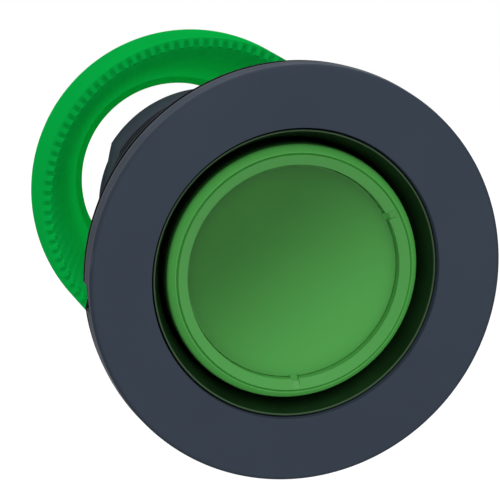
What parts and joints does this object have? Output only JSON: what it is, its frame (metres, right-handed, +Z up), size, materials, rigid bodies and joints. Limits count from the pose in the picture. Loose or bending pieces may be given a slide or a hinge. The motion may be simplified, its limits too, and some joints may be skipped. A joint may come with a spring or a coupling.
{
  "type": "industrial push button",
  "caption": "Flush-mounted illuminated push button head with a dished green lens, dark bezel, threaded barrel and a toothed panel nut.",
  "frame": {"origin": "on the button's axis, in the plane of the panel's front face, which is the rear of the gasket", "axes": "+Y along the barrel, from the front of the panel to its back; +Z up; the button is pressed towards +Y"},
  "size_m": [0.0452, 0.0716, 0.0452],
  "materials": {
    "slate_plastic": "satin",
    "black_rubber": "matte",
    "lens_green": "gloss",
    "collar_green": "gloss",
    "nut_green": "satin",
    "grey_plastic": "satin",
    "white_plastic": "satin",
    "spring_steel": "bright"
  },
  "bodies": {
    "mounted_head": {"bezel_ring": "slate_plastic", "bezel_seal": "black_rubber", "panel_gasket": "black_rubber", "lens_collar": "collar_green", "operator_body": "slate_plastic", "sealing_diaphragm": "black_rubber", "diaphragm_clamp": "grey_plastic", "plunger_guide": "grey_plastic", "return_spring": "spring_steel", "spring_seat": "white_plastic", "rear_coupling": "slate_plastic"},
    "button": {"lens_cap": "lens_green", "lens_disc": "lens_green", "legend_plate": "white_plastic", "diffuser": "white_plastic", "lens_carrier": "white_plastic", "lens_seal": "black_rubber", "plunger": "grey_plastic", "light_sleeve": "white_plastic"},
    "nut": {"fixing_nut": "nut_green"}
  },
  "joints": [
    {"name": "button_press", "type": "slide", "parent": "mounted_head", "child": "button", "axis": [0, 1, 0], "range_m": [0, 0.004], "stiffness_N_per_m": 600, "springref_m": -0.005, "deforming": ["return_spring", "sealing_diaphragm"]},
    {"name": "nut_travel", "type": "slide", "parent": "mounted_head", "child": "nut", "axis": [0, -1, 0], "range_m": [0, 0.0375]}
  ]
}
